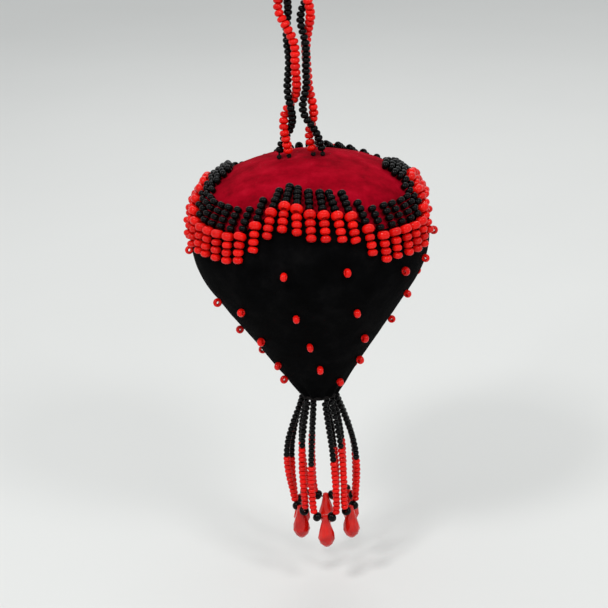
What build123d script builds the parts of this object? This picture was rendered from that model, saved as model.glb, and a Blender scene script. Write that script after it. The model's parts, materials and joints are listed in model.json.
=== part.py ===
"""A beaded strawberry pin cushion that hangs by a strap of twisted, beaded threads.

Millimetres, +Z up, front towards -Y. The origin is the inside top of the hanging loop, where the
cushion hangs from a nail. Azimuths are degrees round the body from the front, towards +X.
"""

import os
from math import cos, pi, radians, sin, tan

from build123d import *

os.makedirs("parts", exist_ok=True)

# Hanger: a red and a black thread, each one leg, the hanging loop and the other leg
STRAP_HEIGHT = 53.6  # from the stitches on the dome to the inside top of the loop
HANGER_THREAD = 0.5
HANGER_HOLE = 0.75
HANGER_RED = (2.2, 1.3)  # a bead's diameter and length
HANGER_BLACK = (1.9, 1.15)
HANGER_GAP = 0.24  # between two beads, which leaves room at the thread's bends
FIRST_BEAD = 1.1  # from a thread's end to its first bead

# Cushion body
BELLY_RADIUS = 28.5
SHOULDER_ARC = 15.5
DOME_SLOPE = 25  # degrees from level where the shoulder meets the dome
FLANK_ARC = 22
FLANK_SLOPE = 33.8  # degrees from upright
TIP_DEPTH = 42  # from the belly, the widest level, down to the tip
SEAM_HEIGHT = 10  # from the belly up to where red and black velvet meet
COVER = 0.8
STUFFING_GAP = 0.1
STITCH_RISE = 0.5  # from the dome's top to the line of the hanger's stitches
STITCH_KNOT = 1.3

# Places on the velvet are distances up the meridian from the belly
BEAD_RISE = 0.06  # from the velvet to a bead
COLUMNS = 53
COLUMN_GAP = 0.1  # between two beads of a column
COLUMN_LEAN = 2  # degrees
LARGE_BEAD = (2.7, 1.9)
SMALL_RED = (2.2, 1.5)
SMALL_BLACK = (1.9, 1.35)
COLUMN_HOLE = 0.7
REDS_BELOW = 3
BLACKS_ABOVE = 4
# where the wave of large beads turns: azimuth, distance
WAVE = [
    (-62, 6.4),
    (-38, 6.4),
    (-13, 14.2),
    (4, 11.8),
    (17, 11.2),
    (34, 5.4),
    (60, 4.8),
    (84, 13.2),
    (128, 5.1),
    (170, 13.8),
    (215, 5.1),
    (262, 13.2),
]
# single beads below the border: distance, azimuths
SCATTER = [
    (-1, [-77, -13, 15, 85, 170, 262]),
    (-4.5, [47, 66, 117, 141, 205, 227]),
    (-13, [-63, -42, -10, 22, 59, 95, 128, 160, 194, 228, 262]),
    (-25, [-44, -5, 37, 78, 120, 160, 202, 244, 285]),
    (-35, [-46, 2, 50, 105, 160, 215, 264]),
    (-42, [-62, 33, 110, 185, 250]),
]

# Fringe: loops of beaded thread under the tip, each with a glass drop
LOOP_FIRST = -122  # azimuth
# extra length, and how far the left and the right leg bulge out
LOOPS = [
    (0.0, 0.8, 0.3),
    (-0.6, 1.9, 0.4),
    (0.3, 0.2, -0.3),
    (0.0, 0.3, 1.1),
    (-0.5, 0.6, 0.2),
    (2.0, 0.1, 0.4),
]
GATHERING = (9.2, 1.1)  # the tip's knot of thread: diameter and thickness
FRINGE_GAP = 0.1  # from the knot to the threads, and between two beads
SPACER_ROOM = 0.4  # beside the spacers, where the thread bends
FRINGE_THREAD = 0.35
FRINGE_HOLE = 0.6
FRINGE_RED = (1.8, 1.1)
FRINGE_BLACK = (1.55, 1.05)
FRINGE_REDS = 12
SPACER = (2.5, 1.7)
SPACER_HOLE = 0.95
# half a loop: distance to the side, distance from the tip's axis, depth
LEG = [(1.3, 3.9, 0), (1.9, 5.6, 6), (2.7, 7.0, 13.5), (3.0, 7.4, 21), (3.0, 7.3, 27.4), (2.5, 7.3, 30.6)]
LEG_BULGE = [0, 0.5, 1, 0.6, 0, 0]
# the drop's octagonal sections: height from its hole, radius
DROP = [(0.9, 0.65), (0.2, 0.9), (-2.2, 1.35), (-5.0, 2.15), (-6.6, 1.95), (-7.7, 1.0), (-8.1, 0.2)]
DROP_HOLE = 0.85
DROP_NECK = 1.8

# Worked out from the sizes above
SHOULDER_TURN = radians(90 - DOME_SLOPE)
FLANK_TURN = radians(FLANK_SLOPE)
SHOULDER_END = SHOULDER_ARC * SHOULDER_TURN
FLANK_END = -FLANK_ARC * FLANK_TURN
DOME_ARC = (BELLY_RADIUS - SHOULDER_ARC + SHOULDER_ARC * cos(SHOULDER_TURN)) / cos(SHOULDER_TURN)
DOME_CENTRE = (SHOULDER_ARC - DOME_ARC) * sin(SHOULDER_TURN)
DOME_END = SHOULDER_END + DOME_ARC * (pi / 2 - SHOULDER_TURN)
FLANK_FOOT = FLANK_END - (TIP_DEPTH - FLANK_ARC * sin(FLANK_TURN)) / cos(FLANK_TURN)
BELLY_Z = -STRAP_HEIGHT - STITCH_RISE - DOME_CENTRE - DOME_ARC
FRINGE_Z = BELLY_Z - TIP_DEPTH - GATHERING[1] - FRINGE_GAP

# Routes of the hanger's threads: to the right, towards the back, up from the stitches
RED_ROUTE = [
    (-3.9, 0.0, 0.0),
    (-4.2, -1.2, 3.0),
    (-4.9, -0.6, 6.4),
    (-4.3, 1.1, 10.0),
    (-1.4, 0.8, 13.4),
    (-1.1, -1.3, 17.0),
    (-1.3, -1.5, 21.4),
    (-0.9, -1.4, 26.0),
    (-2.6, -1.4, 30.0),
    (-4.7, -0.3, 33.8),
    (-3.9, 1.3, 37.4),
    (-2.4, 0.8, 41.0),
    (-3.2, 0.0, 45.4),
    (-4.0, 0.0, 49.2),
    (-4.0, 0.0, 52.3),
    (-1.7, 0.0, 54.7),
    (1.7, 0.0, 54.7),
    (4.0, 0.0, 52.3),
    (4.0, 0.0, 49.2),
    (3.2, 0.0, 45.4),
    (2.0, -0.8, 41.0),
    (2.2, -1.4, 36.8),
    (3.1, -0.3, 32.8),
    (2.3, 1.5, 29.0),
    (1.3, 2.1, 24.6),
    (1.5, 2.0, 20.0),
    (1.5, 1.5, 15.6),
    (2.3, 0.1, 11.8),
    (2.5, 1.0, 8.2),
    (1.2, 1.4, 5.4),
    (1.0, 0.4, 2.6),
    (1.8, 0.0, 0.0),
]
BLACK_ROUTE = [
    (-6.2, 0.0, 0.0),
    (-5.7, 1.2, 2.4),
    (-3.3, 1.6, 5.2),
    (-2.4, -0.2, 8.4),
    (-2.9, -1.5, 11.8),
    (-3.5, -0.8, 15.4),
    (-2.9, 0.8, 19.0),
    (-2.5, 1.3, 22.6),
    (-2.9, 1.1, 26.4),
    (-2.6, 1.3, 30.2),
    (-2.0, 0.8, 33.8),
    (-2.3, -1.2, 37.4),
    (-4.6, -0.9, 41.0),
    (-5.5, 0.0, 45.8),
    (-6.6, 0.0, 50.8),
    (-5.2, 0.0, 55.6),
    (0.0, 0.0, 58.0),
    (5.2, 0.0, 55.6),
    (6.6, 0.0, 50.8),
    (5.5, 0.0, 45.8),
    (4.3, 1.0, 41.0),
    (3.7, 1.5, 37.4),
    (1.3, 1.7, 34.4),
    (0.3, 0.3, 31.0),
    (1.3, -1.2, 27.2),
    (1.5, -1.0, 23.6),
    (1.1, -0.8, 19.8),
    (1.2, -0.8, 16.0),
    (-0.1, -1.1, 12.4),
    (0.0, -0.9, 9.2),
    (2.3, -1.3, 6.2),
    (3.4, -0.5, 3.2),
    (4.0, 0.0, 0.0),
]


def save(node, name):
    node.part.label = name
    export_step(node.part, f"parts/{name}.step")


def bead(size, hole):
    """Ring bead centred on the origin, its hole along Z."""
    outer = size[0] / 2
    inner = hole / 2
    half = size[1] / 2
    rim = inner + 0.25 * (outer - inner)
    with BuildPart() as ring:
        with BuildSketch(Plane.XZ):
            with BuildLine():
                ThreePointArc((rim, -half), (outer, 0), (rim, half))
                Polyline((rim, half), (inner, half), (inner, -half), (rim, -half))
            make_face()
        revolve(axis=Axis.Z)
    return ring.part


def save_beads(name, size, hole, places):
    """One node with a bead at each place, its hole along the place's Z axis."""
    one = bead(size, hole)
    with BuildPart() as group:
        with Locations(*places):
            add(one)
    save(group, name)


def thread_path(points):
    """Straight runs joined by arcs as large as the runs allow."""
    radii = []
    for before, corner, after in zip(points, points[1:], points[2:]):
        arriving = corner - before
        leaving = after - corner
        half_turn = radians(arriving.get_angle(leaving)) / 2
        radii.append(0.45 * min(arriving.length, leaving.length) / tan(half_turn))
    with BuildLine() as path:
        FilletPolyline(*points, radius=radii)
    return path.wire(), radii


def save_thread(name, points, diameter):
    path, radii = thread_path(points)
    with BuildPart() as thread:
        with BuildSketch(Plane(origin=path @ 0, z_dir=path % 0)):
            Circle(diameter / 2)
        sweep(path=path)
    save(thread, name)
    shortest = min(radii)
    expected = pi * diameter**2 / 4 * path.length
    print(f"{name}: length {path.length:.1f}, volume {thread.part.volume / expected:.4f} of it,", end=" ")
    print(f"smallest arc {shortest:.2f}, arcs {[round(radius, 1) for radius in radii]}")
    return path


def on_path(path, distance):
    point = path.position_at(distance, position_mode=PositionMode.LENGTH)
    return Plane(origin=point, z_dir=path.tangent_at(distance, position_mode=PositionMode.LENGTH))


def row(start, end, pitch):
    """Distances along a thread that fill it with beads from start to end."""
    count = int((end - start) / pitch)
    pitch = (end - start) / count
    return [start + pitch * (index + 0.5) for index in range(count)]


def skin(distance, azimuth, rise):
    """Plane outside the velvet by `rise`: X goes round the body and Z goes up the meridian."""
    if distance > SHOULDER_END:
        lean = SHOULDER_TURN + (distance - SHOULDER_END) / DOME_ARC
        radius = DOME_ARC * cos(lean)
        height = DOME_CENTRE + DOME_ARC * sin(lean)
    elif distance > FLANK_END:
        arc = SHOULDER_ARC if distance > 0 else FLANK_ARC
        lean = distance / arc
        radius = BELLY_RADIUS - arc + arc * cos(lean)
        height = arc * sin(lean)
    else:
        lean = -FLANK_TURN
        below = FLANK_END - distance
        radius = BELLY_RADIUS - FLANK_ARC + FLANK_ARC * cos(lean) - below * sin(FLANK_TURN)
        height = FLANK_ARC * sin(lean) - below * cos(FLANK_TURN)
    angle = radians(azimuth)
    out = Vector(sin(angle), -cos(angle), 0)
    outward = out * cos(lean) + Vector(0, 0, sin(lean))
    upward = out * -sin(lean) + Vector(0, 0, cos(lean))
    origin = out * radius + Vector(0, 0, BELLY_Z + height) + outward * rise
    return Plane(origin=origin, x_dir=(cos(angle), sin(angle), 0), z_dir=upward)


def outline(inset):
    """Half of the body's upright section, inset all round, closed along the axis."""

    def at(distance):
        origin = skin(distance, 90, -inset).origin
        return (origin.X, origin.Z)

    foot = at(FLANK_FOOT)
    floor = BELLY_Z - TIP_DEPTH + inset
    foot = (foot[0] + (floor - foot[1]) * tan(FLANK_TURN), floor)
    with BuildLine() as line:
        ThreePointArc(at(DOME_END), at((DOME_END + SHOULDER_END) / 2), at(SHOULDER_END))
        ThreePointArc(at(SHOULDER_END), at(SHOULDER_END / 2), at(0))
        ThreePointArc(at(0), at(FLANK_END / 2), at(FLANK_END))
        Polyline(at(FLANK_END), foot, (0, foot[1]), at(DOME_END))
    return line.line


def velvet_shell(keep):
    """Cover of the body on one side of the seam."""
    with BuildPart() as shell:
        with BuildSketch(Plane.XZ):
            make_face(outline(0))
            make_face(outline(COVER), mode=Mode.SUBTRACT)
        revolve(axis=Axis.Z)
        split(bisect_by=Plane.XY.offset(BELLY_Z + SEAM_HEIGHT), keep=keep)
    return shell


def body():
    save(velvet_shell(Keep.TOP), "dome_cover")
    save(velvet_shell(Keep.BOTTOM), "cone_cover")

    with BuildPart() as stuffing:
        with BuildSketch(Plane.XZ):
            make_face(outline(COVER + STUFFING_GAP))
        revolve(axis=Axis.Z)
    save(stuffing, "stuffing")

    with BuildPart() as gathering:
        with BuildSketch(Plane.XY.offset(BELLY_Z - TIP_DEPTH - GATHERING[1])):
            Circle(GATHERING[0] / 2)
        extrude(amount=GATHERING[1])
        fillet(gathering.edges().group_by(Axis.Z)[0], GATHERING[1] / 2)
    save(gathering, "gathering_knot")


def wave(azimuth):
    """Distance of the border's large bead, eased from each turn of the wave to the next."""
    turns = WAVE + [(WAVE[0][0] + 360, WAVE[0][1])]
    azimuth = turns[0][0] + (azimuth - turns[0][0]) % 360
    for (start, low), (end, high) in zip(turns, turns[1:]):
        if azimuth <= end:
            return low + (high - low) * (1 - cos(pi * (azimuth - start) / (end - start))) / 2


def column(index):
    """A border column: planes of its large bead, its small red beads and its black beads."""
    azimuth = index * 360 / COLUMNS
    middle = wave(azimuth)
    lean = tan(radians(COLUMN_LEAN * sin(2.4 * index)))
    reds = []
    blacks = []

    def beside(distance, size):
        seat = skin(distance, azimuth, 0).origin
        turn = (distance - middle) * lean / Vector(seat.X, seat.Y).length
        return skin(distance, azimuth + turn * 180 / pi, size[0] / 2 + BEAD_RISE)

    large = beside(middle, LARGE_BEAD)
    for number in range(REDS_BELOW):
        step = (LARGE_BEAD[1] + SMALL_RED[1]) / 2 + number * SMALL_RED[1] + (number + 1) * COLUMN_GAP
        reds.append(beside(middle - step, SMALL_RED))
    for number in range(BLACKS_ABOVE):
        step = (LARGE_BEAD[1] + SMALL_BLACK[1]) / 2 + number * SMALL_BLACK[1] + (number + 1) * COLUMN_GAP
        blacks.append(beside(middle + step, SMALL_BLACK))
    return large, reds, blacks


def border():
    columns = [column(index) for index in range(COLUMNS)]
    larges = [large for large, reds, blacks in columns]
    save_beads("border_large_beads", LARGE_BEAD, COLUMN_HOLE, larges)
    save_beads("border_red_beads", SMALL_RED, COLUMN_HOLE, [place for c in columns for place in c[1]])
    save_beads("border_black_beads", SMALL_BLACK, COLUMN_HOLE, [place for c in columns for place in c[2]])


def scatter():
    places = []
    for distance, azimuths in SCATTER:
        for azimuth in azimuths:
            seat = skin(distance, azimuth, SMALL_RED[0] / 2 + BEAD_RISE)
            places.append(Plane(origin=seat.origin, z_dir=seat.x_dir))
    save_beads("scattered_beads", SMALL_RED, COLUMN_HOLE, places)


def hanger():
    for colour, route, size in (("red", RED_ROUTE, HANGER_RED), ("black", BLACK_ROUTE, HANGER_BLACK)):
        points = [Vector(x, y, z - STRAP_HEIGHT) for x, y, z in route]
        path = save_thread(f"hanger_{colour}_thread", points, HANGER_THREAD)
        places = [on_path(path, at) for at in row(FIRST_BEAD, path.length - FIRST_BEAD, size[1] + HANGER_GAP)]
        save_beads(f"hanger_{colour}_beads", size, HANGER_HOLE, places)

    with BuildPart() as knots:
        for x, y, z in (RED_ROUTE[0], RED_ROUTE[-1], BLACK_ROUTE[0], BLACK_ROUTE[-1]):
            drop = DOME_ARC - (DOME_ARC**2 - (abs(x) + STITCH_KNOT / 2) ** 2) ** 0.5
            height = STITCH_RISE + drop - 0.15
            with BuildSketch(Plane((x, y, -STRAP_HEIGHT - 0.15 - height))):
                Circle(STITCH_KNOT / 2)
            extrude(amount=height)
        with BuildSketch(Plane.XZ):
            make_face(outline(0))
        revolve(axis=Axis.Z, mode=Mode.SUBTRACT)
    save(knots, "stitch_knots")


def drop():
    """Teardrop of glass centred on its hole, which runs along X."""
    with BuildPart() as glass:
        for height, radius in DROP:
            with BuildSketch(Plane.XY.offset(height)):
                RegularPolygon(radius, 8, rotation=22.5)
        loft(ruled=True)
        with Locations(Plane.YZ):
            Cylinder(DROP_HOLE / 2, 4 * DROP_NECK, mode=Mode.SUBTRACT)
    return glass.part


def fringe(number, azimuth, extra, bulges):
    """A loop of thread under the tip with its beads, its spacers and its drop."""
    angle = radians(azimuth)
    side = Vector(cos(angle), sin(angle), 0)
    out = Vector(sin(angle), -cos(angle), 0)
    stretch = 1 + extra / LEG[-1][2]
    halves = []
    for sign, bulge in zip((-1, 1), bulges):
        half = []
        for (across, away, depth), share in zip(LEG, LEG_BULGE):
            level = Vector(0, 0, FRINGE_Z - depth * stretch)
            half.append(side * sign * across + out * (away + share * bulge) + level)
        halves.append(half)
    path = save_thread(f"fringe_{number}_thread", halves[0] + halves[1][::-1], FRINGE_THREAD)

    lowest = Vector(0, 0, 0) + out * LEG[-1][1] + Vector(0, 0, FRINGE_Z - LEG[-1][2] * stretch)
    middle = path.param_at_point(lowest) * path.length
    reds = []
    blacks = []
    spacers = []
    for sign, length in ((-1, middle), (1, path.length - middle)):
        spacer = DROP_NECK / 2 + 2 * FRINGE_GAP + SPACER[1] / 2
        spacers.append(middle + sign * spacer)
        red_start = spacer + SPACER[1] / 2 + SPACER_ROOM
        red_end = red_start + FRINGE_REDS * (FRINGE_RED[1] + FRINGE_GAP)
        reds += [middle + sign * at for at in row(red_start, red_end, FRINGE_RED[1] + FRINGE_GAP)]
        blacks += [middle + sign * at for at in row(red_end, length - 0.5, FRINGE_BLACK[1] + FRINGE_GAP)]
    strung = (
        ("red_beads", FRINGE_RED, FRINGE_HOLE, reds),
        ("black_beads", FRINGE_BLACK, FRINGE_HOLE, blacks),
        ("spacers", SPACER, SPACER_HOLE, spacers),
    )
    for name, size, hole, distances in strung:
        save_beads(f"fringe_{number}_{name}", size, hole, [on_path(path, at) for at in distances])

    with BuildPart() as glass:
        with Locations(Plane(origin=lowest, x_dir=side, z_dir=(0, 0, 1))):
            add(drop())
    save(glass, f"drop_{number}")


body()
border()
scatter()
hanger()
for index, (extra, *bulges) in enumerate(LOOPS):
    fringe(index + 1, LOOP_FIRST + index * 360 / len(LOOPS), extra, bulges)
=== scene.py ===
"""Looks of the hanging strawberry pin cushion: velvet, glass beads, threads and drops.

Metres, in the CAD frame. Azimuths are degrees round the body from the front, towards +X.
"""

import json
from math import asin, atan2, cos, degrees, exp, pi, radians, sin

import bpy
import numpy as np
from mathutils import Matrix, Vector, noise


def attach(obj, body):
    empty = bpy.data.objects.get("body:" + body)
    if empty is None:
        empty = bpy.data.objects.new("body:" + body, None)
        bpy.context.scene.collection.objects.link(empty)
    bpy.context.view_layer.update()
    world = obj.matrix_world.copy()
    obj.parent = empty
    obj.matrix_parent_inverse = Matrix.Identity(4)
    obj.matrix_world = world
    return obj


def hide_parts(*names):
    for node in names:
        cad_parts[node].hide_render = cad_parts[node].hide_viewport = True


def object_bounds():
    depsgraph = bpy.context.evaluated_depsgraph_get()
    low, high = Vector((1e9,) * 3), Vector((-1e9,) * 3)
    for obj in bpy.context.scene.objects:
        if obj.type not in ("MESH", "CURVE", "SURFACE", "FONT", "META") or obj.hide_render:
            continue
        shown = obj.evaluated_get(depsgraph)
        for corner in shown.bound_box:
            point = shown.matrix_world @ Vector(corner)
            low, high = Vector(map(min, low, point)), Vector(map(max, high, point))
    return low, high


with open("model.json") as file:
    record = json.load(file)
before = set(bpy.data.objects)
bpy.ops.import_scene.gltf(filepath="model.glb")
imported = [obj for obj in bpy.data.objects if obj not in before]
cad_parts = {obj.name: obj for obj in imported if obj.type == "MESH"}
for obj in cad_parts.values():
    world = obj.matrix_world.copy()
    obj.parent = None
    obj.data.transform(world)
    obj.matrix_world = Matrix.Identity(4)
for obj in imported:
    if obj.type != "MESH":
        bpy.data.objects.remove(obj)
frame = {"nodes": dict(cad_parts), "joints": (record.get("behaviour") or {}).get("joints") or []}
CAD_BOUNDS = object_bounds()
MM = 0.001
CHORD = 0.0004  # half of the stretch of thread that a bead lies along
RNG = np.random.default_rng(7)

# Body: the same meridian as the CAD, in millimetres until points are placed
STRAP_HEIGHT = 53.6
BELLY_RADIUS = 28.5
SHOULDER_ARC = 15.5
DOME_SLOPE = 25
FLANK_ARC = 22
FLANK_SLOPE = 33.8
TIP_DEPTH = 42
SEAM_ABOVE = 1.2  # from the large beads up the meridian to the seam of the velvets
STITCH_RISE = 0.5
SHOULDER_TURN = radians(90 - DOME_SLOPE)
FLANK_TURN = radians(FLANK_SLOPE)
SHOULDER_END = SHOULDER_ARC * SHOULDER_TURN
FLANK_END = -FLANK_ARC * FLANK_TURN
DOME_ARC = (BELLY_RADIUS - SHOULDER_ARC + SHOULDER_ARC * cos(SHOULDER_TURN)) / cos(SHOULDER_TURN)
DOME_CENTRE = (SHOULDER_ARC - DOME_ARC) * sin(SHOULDER_TURN)
DOME_END = SHOULDER_END + DOME_ARC * (pi / 2 - SHOULDER_TURN)
FLANK_FOOT = FLANK_END - (TIP_DEPTH - FLANK_ARC * sin(FLANK_TURN)) / cos(FLANK_TURN)
BELLY_Z = -STRAP_HEIGHT - STITCH_RISE - DOME_CENTRE - DOME_ARC
COVER = 0.7
SEGMENTS = 424
DOME_RINGS = 70
CONE_RINGS = 150
DOME_GAP = 0.4  # from the last ring to the top
PILE = 0.05  # the velvet's rise from its plain form
SWELLS = [(0.2, 90), (0.08, 320)]  # height, turns per metre
DENT = 0.3
DENT_SPREAD = 1.8
DENT_REACH = 6
FOLDS = 13  # gathers round the tip
FOLD_WANDER = (1.4, 60)
FOLD_REACH = 16  # up the meridian from the tip
FOLD_HEIGHT = 0.38
FOLD_PULL = 0.1
SINK = 0.3  # the scattered beads into the pile
SINK_TOWARDS = 6  # below the belly

# Beads: diameter and length
HANGER_RED = (2.25, 1.42)
HANGER_BLACK = (1.95, 1.28)
LARGE_BEAD = (2.9, 1.9)
SMALL_RED = (2.35, 1.5)
SCATTERED = (2.05, 1.35)
SMALL_BLACK = (2.05, 1.38)
FRINGE_RED = (1.85, 1.17)
FRINGE_BLACK = (1.6, 1.11)
SPACER = (2.5, 1.7)
STITCH_KNOT = (1.2, 0.9)
BEAD_SEGMENTS = 20
BEAD_RINGS = 9
BEAD_LIP = 0.03  # round the hole, of the diameter
BEAD_GAP = 0.02  # between two beads of the hanger
FIRST_BEAD = 0.45  # from a hanger thread's end to its first bead
BEAD_HOLE = 0.36  # of the diameter

# Cords, as in the CAD: to the right, towards the back, up from the stitches
HANGER_THREAD = 0.5
RED_ROUTE = [
    (-3.9, 0.0, 0.0),
    (-4.2, -1.2, 3.0),
    (-4.9, -0.6, 6.4),
    (-4.3, 1.1, 10.0),
    (-1.4, 0.8, 13.4),
    (-1.1, -1.3, 17.0),
    (-1.3, -1.5, 21.4),
    (-0.9, -1.4, 26.0),
    (-2.6, -1.4, 30.0),
    (-4.7, -0.3, 33.8),
    (-3.9, 1.3, 37.4),
    (-2.4, 0.8, 41.0),
    (-3.2, 0.0, 45.4),
    (-4.0, 0.0, 49.2),
    (-4.0, 0.0, 52.3),
    (-1.7, 0.0, 54.7),
    (1.7, 0.0, 54.7),
    (4.0, 0.0, 52.3),
    (4.0, 0.0, 49.2),
    (3.2, 0.0, 45.4),
    (2.0, -0.8, 41.0),
    (2.2, -1.4, 36.8),
    (3.1, -0.3, 32.8),
    (2.3, 1.5, 29.0),
    (1.3, 2.1, 24.6),
    (1.5, 2.0, 20.0),
    (1.5, 1.5, 15.6),
    (2.3, 0.1, 11.8),
    (2.5, 1.0, 8.2),
    (1.2, 1.4, 5.4),
    (1.0, 0.4, 2.6),
    (1.8, 0.0, 0.0),
]
BLACK_ROUTE = [
    (-6.2, 0.0, 0.0),
    (-5.7, 1.2, 2.4),
    (-3.3, 1.6, 5.2),
    (-2.4, -0.2, 8.4),
    (-2.9, -1.5, 11.8),
    (-3.5, -0.8, 15.4),
    (-2.9, 0.8, 19.0),
    (-2.5, 1.3, 22.6),
    (-2.9, 1.1, 26.4),
    (-2.6, 1.3, 30.2),
    (-2.0, 0.8, 33.8),
    (-2.3, -1.2, 37.4),
    (-4.6, -0.9, 41.0),
    (-5.5, 0.0, 45.8),
    (-6.6, 0.0, 50.8),
    (-5.2, 0.0, 55.6),
    (0.0, 0.0, 58.0),
    (5.2, 0.0, 55.6),
    (6.6, 0.0, 50.8),
    (5.5, 0.0, 45.8),
    (4.3, 1.0, 41.0),
    (3.7, 1.5, 37.4),
    (1.3, 1.7, 34.4),
    (0.3, 0.3, 31.0),
    (1.3, -1.2, 27.2),
    (1.5, -1.0, 23.6),
    (1.1, -0.8, 19.8),
    (1.2, -0.8, 16.0),
    (-0.1, -1.1, 12.4),
    (0.0, -0.9, 9.2),
    (2.3, -1.3, 6.2),
    (3.4, -0.5, 3.2),
    (4.0, 0.0, 0.0),
]

# Fringe, as in the CAD
LOOP_FIRST = -122
LOOPS = [
    (0.0, 0.8, 0.3),
    (-0.6, 1.9, 0.4),
    (0.3, 0.2, -0.3),
    (0.0, 0.3, 1.1),
    (-0.5, 0.6, 0.2),
    (2.0, 0.1, 0.4),
]
FRINGE_TOP = TIP_DEPTH + 1.2
FRINGE_THREAD = 0.35
FRINGE_REDS = 12
# along a leg from the loop's lowest point
SPACER_AT = 1.9
REDS_AT = 3.15
RED_ROOM = 1.2
RED_PITCH = 1.19
BLACK_PITCH = 1.13
BLACK_FROM_TIP = 0.4
LEG = [(1.3, 3.9, 0), (1.9, 5.6, 6), (2.7, 7.0, 13.5), (3.0, 7.4, 21), (3.0, 7.3, 27.4), (2.5, 7.3, 30.6)]
LEG_BULGE = [0, 0.5, 1, 0.6, 0, 0]
# the drop's rings of facets: height from its hole, radius
DROP = [
    (1.0, 0.3),
    (0.75, 0.75),
    (-0.3, 0.88),
    (-2.2, 1.38),
    (-4.2, 1.98),
    (-5.6, 2.2),
    (-6.9, 1.72),
    (-7.8, 0.9),
]
DROP_TIP = -8.3
DROP_SIDES = 9

# Floor and camera, in metres and degrees
FLOOR_GAP = 0.012  # below the lowest drop
FLOOR_HALF = 1.6
CAMERA_ELEVATION = 21.5
CAMERA_DISTANCE = 0.38
CAMERA_ROLL = 3.4
VIEW_WIDTH = 0.1448  # across the picture at the body's axis
BELLY_IN_VIEW = (0.0014, 0.0178)  # the belly's centre from the picture's


def skin(distance, azimuth):
    """Point on the velvet and the direction out of it, from millimetres up the meridian."""
    if distance > SHOULDER_END:
        lean = SHOULDER_TURN + (distance - SHOULDER_END) / DOME_ARC
        radius = DOME_ARC * cos(lean)
        height = DOME_CENTRE + DOME_ARC * sin(lean)
    elif distance > FLANK_END:
        arc = SHOULDER_ARC if distance > 0 else FLANK_ARC
        lean = distance / arc
        radius = BELLY_RADIUS - arc + arc * cos(lean)
        height = arc * sin(lean)
    else:
        lean = -FLANK_TURN
        below = FLANK_END - distance
        radius = BELLY_RADIUS - FLANK_ARC + FLANK_ARC * cos(lean) - below * sin(FLANK_TURN)
        height = FLANK_ARC * sin(lean) - below * cos(FLANK_TURN)
    angle = radians(azimuth)
    out = Vector((sin(angle), -cos(angle), 0))
    outward = out * cos(lean) + Vector((0, 0, sin(lean)))
    point = out * radius + Vector((0, 0, BELLY_Z + height))
    return point * MM, outward


# Materials


class Nodes:
    """Short way to build one material's nodes round its Principled shader."""

    def __init__(self, name):
        self.material = bpy.data.materials.new(name)
        self.material.use_nodes = True
        self.tree = self.material.node_tree
        self.shader = self.tree.nodes["Principled BSDF"]

    def add(self, kind, **values):
        node = self.tree.nodes.new(kind)
        for key, value in values.items():
            if key in node.inputs:
                node.inputs[key].default_value = value
            else:
                setattr(node, key, value)
        return node

    def link(self, source, target):
        self.tree.links.new(source, target)

    def set(self, **values):
        for key, value in values.items():
            self.shader.inputs[key.replace("_", " ")].default_value = value

    def place(self):
        return self.tree.nodes.new("ShaderNodeTexCoord").outputs["Object"]

    def noise(self, scale, detail=3, rough=0.55):
        texture = self.add("ShaderNodeTexNoise", Scale=scale, Detail=detail, Roughness=rough)
        self.link(self.place(), texture.inputs["Vector"])
        return texture.outputs["Fac"]

    def ramp(self, source, *stops):
        ramp = self.add("ShaderNodeValToRGB")
        elements = ramp.color_ramp.elements
        while len(elements) < len(stops):
            elements.new(0.5)
        for element, (at, colour) in zip(elements, stops):
            element.position = at
            element.color = (*colour, 1)
        self.link(source, ramp.inputs["Fac"])
        return ramp.outputs["Color"]

    def bump(self, source, strength, distance, before=None):
        bump = self.add("ShaderNodeBump", Strength=strength, Distance=distance)
        self.link(source, bump.inputs["Height"])
        if before is not None:
            self.link(before, bump.inputs["Normal"])
        self.link(bump.outputs["Normal"], self.shader.inputs["Normal"])
        return bump.outputs["Normal"]


def velvet(name, dark, middle, light, sheen, tint):
    """Short pile: cloudy strokes where it lies over, a fine nap, and a sheen at grazing angles."""
    nodes = Nodes(name)
    clouds = nodes.noise(190, 4, 0.62)
    colour = nodes.ramp(clouds, (0.32, dark), (0.52, middle), (0.72, light))
    nodes.link(colour, nodes.shader.inputs["Base Color"])
    soft = nodes.bump(clouds, 0.35, 0.0006)
    nodes.bump(nodes.noise(5200, 2, 0.7), 0.5, 0.00012, soft)
    nodes.set(Roughness=0.95, Specular_IOR_Level=0.02)
    nodes.set(Sheen_Weight=sheen, Sheen_Roughness=0.35, Sheen_Tint=(*tint, 1))
    return nodes.material


def glass_bead(name, dark, light, roughness, shine):
    """Opaque glass, each bead a little different, faintly wavy on its surface."""
    nodes = Nodes(name)
    island = nodes.add("ShaderNodeNewGeometry").outputs["Random Per Island"]
    nodes.link(nodes.ramp(island, (0.0, dark), (1.0, light)), nodes.shader.inputs["Base Color"])
    nodes.bump(nodes.noise(900, 2), 0.12, 0.0001)
    nodes.set(Roughness=roughness, Coat_Weight=shine, Coat_Roughness=0.04, Specular_IOR_Level=shine)
    return nodes.material


def crystal(name):
    """Opaque red glass, cloudy inside, polished on its facets."""
    nodes = Nodes(name)
    shade = nodes.ramp(nodes.noise(260, 2), (0.35, (0.42, 0.002, 0.002)), (0.7, (0.72, 0.012, 0.006)))
    nodes.link(shade, nodes.shader.inputs["Base Color"])
    nodes.bump(nodes.noise(500, 1), 0.05, 0.0001)
    nodes.set(Roughness=0.04, Specular_IOR_Level=0.3, Coat_Weight=0.15, Coat_Roughness=0.03)
    return nodes.material


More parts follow.
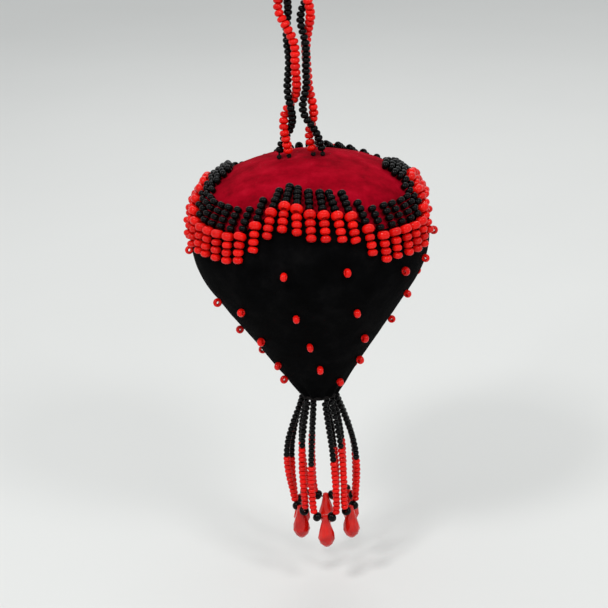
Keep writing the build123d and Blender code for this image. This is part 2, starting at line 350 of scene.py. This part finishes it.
def thread(name, dark, light):
    """Twisted cotton: plies across the strand and loose fibres."""
    nodes = Nodes(name)
    wave = nodes.add("ShaderNodeTexWave", Scale=900.0, Distortion=2.5, Detail=2.0)
    wave.bands_direction = "DIAGONAL"
    nodes.link(nodes.place(), wave.inputs["Vector"])
    nodes.link(nodes.ramp(wave.outputs["Fac"], (0.2, dark), (0.8, light)), nodes.shader.inputs["Base Color"])
    nodes.bump(wave.outputs["Fac"], 0.6, 0.00008)
    nodes.set(Roughness=0.85, Specular_IOR_Level=0.1)
    return nodes.material


def fibre(name):
    nodes = Nodes(name)
    strands = nodes.noise(700, 5, 0.7)
    nodes.link(nodes.ramp(strands, (0.3, (0.45, 0.38, 0.28)), (0.7, (0.8, 0.74, 0.62))),
               nodes.shader.inputs["Base Color"])
    nodes.bump(strands, 0.7, 0.0004)
    nodes.set(Roughness=0.95)
    return nodes.material


def plain(name, colour):
    nodes = Nodes(name)
    tone = nodes.noise(6, 3)
    lighter = [min(1, 1.03 * channel) for channel in colour]
    nodes.link(nodes.ramp(tone, (0.3, colour), (0.7, lighter)), nodes.shader.inputs["Base Color"])
    nodes.set(Roughness=0.9)
    return nodes.material


RED_VELVET = velvet("red_velvet", (0.17, 0.0004, 0.005), (0.29, 0.0008, 0.009), (0.40, 0.003, 0.016),
                    0.08, (0.9, 0.04, 0.07))
BLACK_VELVET = velvet("black_velvet", (0.0012, 0.0012, 0.0013), (0.002, 0.002, 0.0022),
                      (0.004, 0.0038, 0.004), 0.0, (0.5, 0.45, 0.5))
RED_BEAD = glass_bead("red_glass_bead", (0.60, 0.003, 0.002), (0.78, 0.006, 0.003), 0.16, 0.12)
BLACK_BEAD = glass_bead("black_glass_bead", (0.0006, 0.0006, 0.0007), (0.002, 0.0018, 0.0018), 0.13, 0.07)
CRYSTAL = crystal("red_crystal")
RED_THREAD = thread("thread_red", (0.16, 0.004, 0.005), (0.36, 0.01, 0.012))
DARK_THREAD = thread("thread_dark", (0.003, 0.002, 0.002), (0.012, 0.01, 0.01))


# Meshes


def add_mesh(name, points, faces, material, body, node, smooth=True):
    """One piece from points and faces, in place of a CAD node."""
    mesh = bpy.data.meshes.new(name)
    mesh.from_pydata([tuple(point) for point in points], [], faces)
    mesh.update()
    mesh.materials.append(material)
    mesh.polygons.foreach_set("use_smooth", [smooth] * len(mesh.polygons))
    piece = bpy.data.objects.new(name, mesh)
    bpy.context.scene.collection.objects.link(piece)
    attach(piece, body)
    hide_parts(node)
    return piece


def band(ring, above, count):
    """Quads between two rings of points."""
    return [(ring * count + index, ring * count + (index + 1) % count,
             above * count + (index + 1) % count, above * count + index) for index in range(count)]


def bead_form():
    """Unit bead: rings round its hole along Z, from the hole's edge over the waist and back inside."""
    hole = BEAD_HOLE / 2
    section = [(hole, -0.36), (hole + 0.05, -0.46)]
    for step in range(BEAD_RINGS):
        turn = -pi / 2 + pi * (step + 0.5) / BEAD_RINGS
        section.append((hole + BEAD_LIP + (0.5 - BEAD_LIP - hole) * cos(turn), 0.5 * sin(turn)))
    section += [(hole + 0.05, 0.46), (hole, 0.36)]
    points = []
    for radius, height in section:
        for index in range(BEAD_SEGMENTS):
            turn = 2 * pi * index / BEAD_SEGMENTS
            points.append((radius * cos(turn), radius * sin(turn), height))
    faces = []
    rings = len(section)
    for ring in range(rings):
        faces += band(ring, (ring + 1) % rings, BEAD_SEGMENTS)
    return np.array(points), np.array(faces)


BEAD_POINTS, BEAD_FACES = bead_form()


def add_beads(name, places, size, material, body, node, uneven=0.04, tilt=4):
    """One piece of loose beads, each a little uneven in size and tilt, its hole along its direction."""
    points = []
    faces = []
    for count, (centre, direction) in enumerate(places):
        scale = 1 + uneven * RNG.uniform(-1, 1, 3)
        form = BEAD_POINTS * np.array([size[0], size[0], size[1]]) * MM * scale[[0, 0, 2]]
        turn = Vector(direction).to_track_quat("Z", "Y").to_matrix()
        wobble = Matrix.Rotation(radians(tilt) * RNG.uniform(-1, 1), 3, "X")
        wobble = wobble @ Matrix.Rotation(radians(tilt) * RNG.uniform(-1, 1), 3, "Y")
        points.append(form @ np.array(turn @ wobble).T + np.array(centre))
        faces.append(BEAD_FACES + count * len(BEAD_POINTS))
    add_mesh(name, np.concatenate(points), np.concatenate(faces).tolist(), material, body, node)


def islands(node):
    """Centre and hole direction of each loose bead of a CAD node."""
    mesh = frame["nodes"][node].data
    loose = np.array([vertex.co[:] for vertex in mesh.vertices])
    points, welded = np.unique(np.round(loose, 6), axis=0, return_inverse=True)
    label = np.arange(len(points))
    edges = welded.reshape(-1)[np.array([edge.vertices[:] for edge in mesh.edges])]
    while True:
        low = np.minimum(label[edges[:, 0]], label[edges[:, 1]])
        new = label.copy()
        np.minimum.at(new, edges[:, 0], low)
        np.minimum.at(new, edges[:, 1], low)
        new = new[new]
        if (new == label).all():
            break
        label = new
    places = []
    for one in np.unique(label):
        cloud = points[label == one]
        centre = (cloud.min(axis=0) + cloud.max(axis=0)) / 2
        spread, axes = np.linalg.eigh(np.cov((cloud - centre).T))
        places.append((centre, axes[:, 0 if spread[1] - spread[0] > spread[2] - spread[1] else 2]))
    return places


def add_cord(name, points, diameter, material, body, node):
    """Thread on one smooth line, its route's points as control points."""
    curve = bpy.data.curves.new(name, "CURVE")
    curve.dimensions = "3D"
    spline = curve.splines.new("NURBS")
    spline.points.add(len(points) - 1)
    for control, point in zip(spline.points, points):
        control.co = (*point, 1)
    spline.order_u = 3
    spline.use_endpoint_u = True
    curve.resolution_u = 10
    curve.bevel_depth = diameter * MM / 2
    curve.bevel_resolution = 2
    curve.materials.append(material)
    piece = bpy.data.objects.new(name, curve)
    bpy.context.scene.collection.objects.link(piece)
    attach(piece, body)
    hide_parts(node)
    line_length(smooth_line(piece))
    return piece


def smooth_line(piece):
    """The points of a cord's NURBS line."""
    bare = piece.copy()
    bare.data = piece.data.copy()
    bare.data.bevel_depth = 0
    mesh = bpy.data.meshes.new_from_object(bare)
    line = np.array([vertex.co[:] for vertex in mesh.vertices])
    bpy.data.meshes.remove(mesh)
    bpy.data.curves.remove(bare.data)
    return line


def line_length(line):
    return float(np.linalg.norm(np.diff(line, axis=0), axis=1).sum())


def along(line, distances):
    """Centre and direction at distances along a line, in metres."""
    steps = np.linalg.norm(np.diff(line, axis=0), axis=1)
    reach = np.concatenate([[0], np.cumsum(steps)])
    places = []
    for distance in distances:
        centre = np.array([np.interp(distance, reach, line[:, axis]) for axis in range(3)])
        ahead = np.array([np.interp(distance + CHORD, reach, line[:, axis]) for axis in range(3)])
        behind = np.array([np.interp(distance - CHORD, reach, line[:, axis]) for axis in range(3)])
        places.append((centre, ahead - behind))
    return places


def row(start, end, pitch):
    """Distances that fill a stretch of thread with beads."""
    count = int((end - start) / pitch)
    return [start + (end - start) / count * (index + 0.5) for index in range(count)]


# Pieces


def hanger():
    """The strap's two threads, strung with beads from the stitches over the loop and back."""
    first = FIRST_BEAD * MM
    for colour, route, size, strand, glass in (
        ("red", RED_ROUTE, HANGER_RED, RED_THREAD, RED_BEAD),
        ("black", BLACK_ROUTE, HANGER_BLACK, DARK_THREAD, BLACK_BEAD),
    ):
        points = [Vector((x, y, z - STRAP_HEIGHT)) * MM for x, y, z in route]
        piece = add_cord(f"hanger_{colour}_cord", points, HANGER_THREAD, strand, "hanger",
                         f"hanger_{colour}_thread")
        line = smooth_line(piece)
        places = along(line, row(first, line_length(line) - first, (size[1] + BEAD_GAP) * MM))
        add_beads(f"strap_{colour}_beads", places, size, glass, "hanger",
                  f"hanger_{colour}_beads")


def relief(distance, azimuth, seats, tip):
    """How far the velvet stands out of its plain form, in millimetres."""
    point, outward = skin(distance, azimuth)
    rise = PILE + sum(height * noise.noise(point * turns) for height, turns in SWELLS)
    for seat in seats:
        away = (point - seat).length / MM
        if away < DENT_REACH:
            rise -= DENT * exp(-(away / DENT_SPREAD) ** 2)
    if tip:
        near = max(0, 1 - (distance - FLANK_FOOT) / FOLD_REACH)
        wander, turns = FOLD_WANDER
        folds = sin(radians(azimuth) * FOLDS + wander * noise.noise(point * turns))
        rise += near**2 * (FOLD_HEIGHT * folds - FOLD_PULL)
    return rise


def seam_line():
    """The seam's distance up the meridian, all round: it follows the wave of large beads."""
    seats = []
    for centre, direction in islands("border_large_beads"):
        height = (centre[2] / MM - BELLY_Z) / (SHOULDER_ARC + LARGE_BEAD[0] / 2)
        seats.append((degrees(atan2(centre[0], -centre[1])) % 360, SHOULDER_ARC * asin(height) + SEAM_ABOVE))
    seats.sort()
    azimuths, distances = zip(*seats)
    return np.interp(np.arange(SEGMENTS) * 360 / SEGMENTS, azimuths, distances, period=360)


def cover(name, seam, end, rings, material, seats, tip, node):
    """One side of the body: rings along the meridian from the seam, closed at its far end."""
    points = []
    for share in np.linspace(0, 1, rings):
        for index in range(SEGMENTS):
            azimuth = 360 * index / SEGMENTS
            distance = seam[index] + (end - seam[index]) * share
            point, outward = skin(distance, azimuth)
            points.append(point + outward * relief(distance, azimuth, seats, tip) * MM)
    faces = []
    for ring in range(rings - 1):
        faces += band(ring, ring + 1, SEGMENTS)
    faces.append([(rings - 1) * SEGMENTS + index for index in range(SEGMENTS)])
    if tip:
        faces = [face[::-1] for face in faces]
    piece = add_mesh(name, points, faces, material, "cushion", node)
    thick = piece.modifiers.new("cloth_thickness", "SOLIDIFY")
    thick.thickness = COVER * MM
    thick.offset = -1


def covers(scattered):
    """The two velvets, dented at the hanger's stitches and at the scattered beads."""
    stitches = [Vector((x, y, 0)) * MM + Vector((0, 0, BELLY_Z + DOME_CENTRE + DOME_ARC)) * MM
                for x, y, z in (RED_ROUTE[0], RED_ROUTE[-1], BLACK_ROUTE[0], BLACK_ROUTE[-1])]
    seam = seam_line()
    cover("red_velvet_dome", seam, DOME_END - DOME_GAP, DOME_RINGS, RED_VELVET, stitches,
          False, "dome_cover")
    seats = [Vector(centre) for centre, direction in scattered]
    cover("black_velvet_cone", seam, FLANK_FOOT, CONE_RINGS, BLACK_VELVET, seats,
          True, "cone_cover")


def sunk(places):
    """The same places a little deeper in the pile, towards the middle of the cone."""
    middle = np.array([0, 0, (BELLY_Z - SINK_TOWARDS) * MM])
    return [(centre - SINK * MM * (centre - middle) / np.linalg.norm(centre - middle), direction)
            for centre, direction in places]


def border():
    """The columns of beads over the seam, each bead where the CAD has it."""
    for node, size, glass, slot in (
        ("border_large_beads", LARGE_BEAD, RED_BEAD, "red_glass_bead"),
        ("border_red_beads", SMALL_RED, RED_BEAD, "red_glass_bead"),
        ("border_black_beads", SMALL_BLACK, BLACK_BEAD, "black_glass_bead"),
    ):
        add_beads(f"{node}_glass", islands(node), size, glass, "cushion", node, 0.05, 7)


def lowest(line, start, side):
    """Index of the line's lowest point, in the middle of a level stretch."""
    across = np.abs((line - np.array(start)) @ np.array(side) / MM - LEG[0][0])
    return int(np.argmin(across + (line[:, 2] - line[:, 2].min()) / MM))


def fringe(number, azimuth, extra, bulges):
    """One loop: its thread down and up again, its beads and spacers, and its drop."""
    angle = radians(azimuth)
    side = Vector((cos(angle), sin(angle), 0))
    out = Vector((sin(angle), -cos(angle), 0))
    stretch = 1 + extra / LEG[-1][2]
    halves = []
    for sign, bulge in zip((-1, 1), bulges):
        half = []
        for (across, away, depth), share in zip(LEG, LEG_BULGE):
            level = Vector((0, 0, BELLY_Z - FRINGE_TOP - depth * stretch))
            half.append((side * sign * across + out * (away + share * bulge) + level) * MM)
        halves.append(half)
    body = f"fringe_{number}"
    route = halves[0] + halves[1][::-1]
    cord = add_cord(f"{body}_cord", route, FRINGE_THREAD, DARK_THREAD, body, f"{body}_thread")
    line = smooth_line(cord)
    total = line_length(line)
    middle = line_length(line[: lowest(line, route[0], side) + 1])
    reds = []
    blacks = []
    spacers = []
    for sign, length in ((-1, middle), (1, total - middle)):
        spacers.append(middle + sign * SPACER_AT * MM)
        start = REDS_AT * MM
        end = start + (FRINGE_REDS + RNG.integers(-2, 3)) * RED_ROOM * MM
        reds += [middle + sign * at for at in row(start, end, RED_PITCH * MM)]
        blacks += [middle + sign * at for at in row(end, length - BLACK_FROM_TIP * MM, BLACK_PITCH * MM)]
    for kind, distances, size, glass, slot in (
        ("red_beads", reds, FRINGE_RED, RED_BEAD, "red_glass_bead"),
        ("black_beads", blacks, FRINGE_BLACK, BLACK_BEAD, "black_glass_bead"),
        ("spacers", spacers, SPACER, BLACK_BEAD, "black_glass_bead"),
    ):
        add_beads(f"{body}_{kind}_glass", along(line, distances), size, glass, body, f"{body}_{kind}")
    drop(number, side)


def drop(number, side):
    """Faceted teardrop: rings of corners, each turned half a facet from the last, set round the place of its
    hole near its top.
    """
    joint = next(each for each in frame["joints"] if each["name"] == f"drop_{number}_swing")
    centre = Vector(joint["pos_m"])
    out = Vector((side.y, -side.x, 0))
    points = []
    for ring, (height, radius) in enumerate(DROP):
        for index in range(DROP_SIDES):
            turn = 2 * pi * (index + 0.5 * (ring % 2)) / DROP_SIDES
            local = side * radius * cos(turn) + out * radius * sin(turn) + Vector((0, 0, height))
            points.append(centre + local * MM)
    points.append(centre + Vector((0, 0, DROP[0][0] + 0.05)) * MM)
    points.append(centre + Vector((0, 0, DROP_TIP)) * MM)
    top = len(points) - 2
    tip = len(points) - 1
    faces = []
    for ring in range(len(DROP) - 1):
        shift = ring % 2
        for index in range(DROP_SIDES):
            beside = (index + 1) % DROP_SIDES
            upper = ring * DROP_SIDES
            lower = (ring + 1) * DROP_SIDES
            if shift:
                faces.append((upper + index, lower + index, lower + beside))
                faces.append((upper + index, lower + beside, upper + beside))
            else:
                faces.append((upper + index, lower + index, upper + beside))
                faces.append((upper + beside, lower + index, lower + beside))
    last = (len(DROP) - 1) * DROP_SIDES
    for index in range(DROP_SIDES):
        beside = (index + 1) % DROP_SIDES
        faces.append((top, index, beside))
        faces.append((tip, last + beside, last + index))
    add_mesh(f"crystal_drop_{number}", points, faces, CRYSTAL, f"drop_{number}",
             f"drop_{number}", smooth=False)


def hidden_parts():
    """Materials for the CAD parts that stay as they are, inside the covers and at the tip."""
    for node, material in (("stuffing", fibre("fibre")), ("gathering_knot", DARK_THREAD)):
        mesh = frame["nodes"][node].data
        mesh.materials.clear()
        mesh.materials.append(material)


def studio():
    """Pale floor, three soft boxes above, and the camera."""
    low = CAD_BOUNDS[0][2] - FLOOR_GAP
    half = FLOOR_HALF
    corners = [(-half, -half, low), (half, -half, low), (half, half, low), (-half, half, low)]
    mesh = bpy.data.meshes.new("floor")
    mesh.from_pydata(corners, [], [(0, 1, 2, 3)])
    mesh.materials.append(plain("pale_floor", (0.70, 0.705, 0.69)))
    floor = bpy.data.objects.new("floor", mesh)
    bpy.context.scene.collection.objects.link(floor)

    belly = Vector((0, 0, BELLY_Z * MM))
    for name, place, size, power in (
        ("key", (-0.22, -0.30, 0.42), 0.10, 1.1),
        ("fill", (0.26, -0.34, 0.36), 0.12, 0.8),
        ("back", (0.05, 0.40, 0.40), 0.40, 0.8),
    ):
        light = bpy.data.lights.new(name, "AREA")
        light.size = size
        light.energy = power
        lamp = bpy.data.objects.new(name, light)
        lamp.location = belly + Vector(place)
        lamp.rotation_euler = (belly - lamp.location).to_track_quat("-Z", "Y").to_euler()
        bpy.context.scene.collection.objects.link(lamp)

    world = bpy.data.worlds.new("studio")
    world.use_nodes = True
    world.node_tree.nodes["Background"].inputs["Color"].default_value = (0.93, 0.95, 0.96, 1)
    world.node_tree.nodes["Background"].inputs["Strength"].default_value = 0.72
    bpy.context.scene.world = world
    bpy.context.scene.view_settings.view_transform = "Standard"

    tilt = radians(CAMERA_ELEVATION)
    roll = radians(CAMERA_ROLL)
    back = Vector((0, -cos(tilt), sin(tilt)))
    upward = Vector((0, sin(tilt), cos(tilt)))
    right = Vector((1, 0, 0))
    rolled_right = right * cos(roll) - upward * sin(roll)
    rolled_up = upward * cos(roll) + right * sin(roll)
    target = belly - rolled_right * BELLY_IN_VIEW[0] - rolled_up * BELLY_IN_VIEW[1]
    lens = bpy.data.cameras.new("camera")
    lens.sensor_width = 36
    lens.lens = 36 * CAMERA_DISTANCE / VIEW_WIDTH
    camera = bpy.data.objects.new("camera", lens)
    turn = Matrix((rolled_right, rolled_up, back)).transposed().to_4x4()
    camera.matrix_world = Matrix.Translation(target + back * CAMERA_DISTANCE) @ turn
    bpy.context.scene.collection.objects.link(camera)
    bpy.context.scene.camera = camera


hidden_parts()
hanger()
add_beads("tied_stitch_knots", islands("stitch_knots"), STITCH_KNOT, DARK_THREAD, "cushion",
          "stitch_knots")
scattered = islands("scattered_beads")
covers(scattered)
border()
add_beads("scattered_beads_glass", sunk(scattered), SCATTERED, RED_BEAD, "cushion",
          "scattered_beads", 0.05, 14)
for index, (extra, *bulges) in enumerate(LOOPS):
    fringe(index + 1, LOOP_FIRST + index * 360 / len(LOOPS), extra, bulges)
studio()
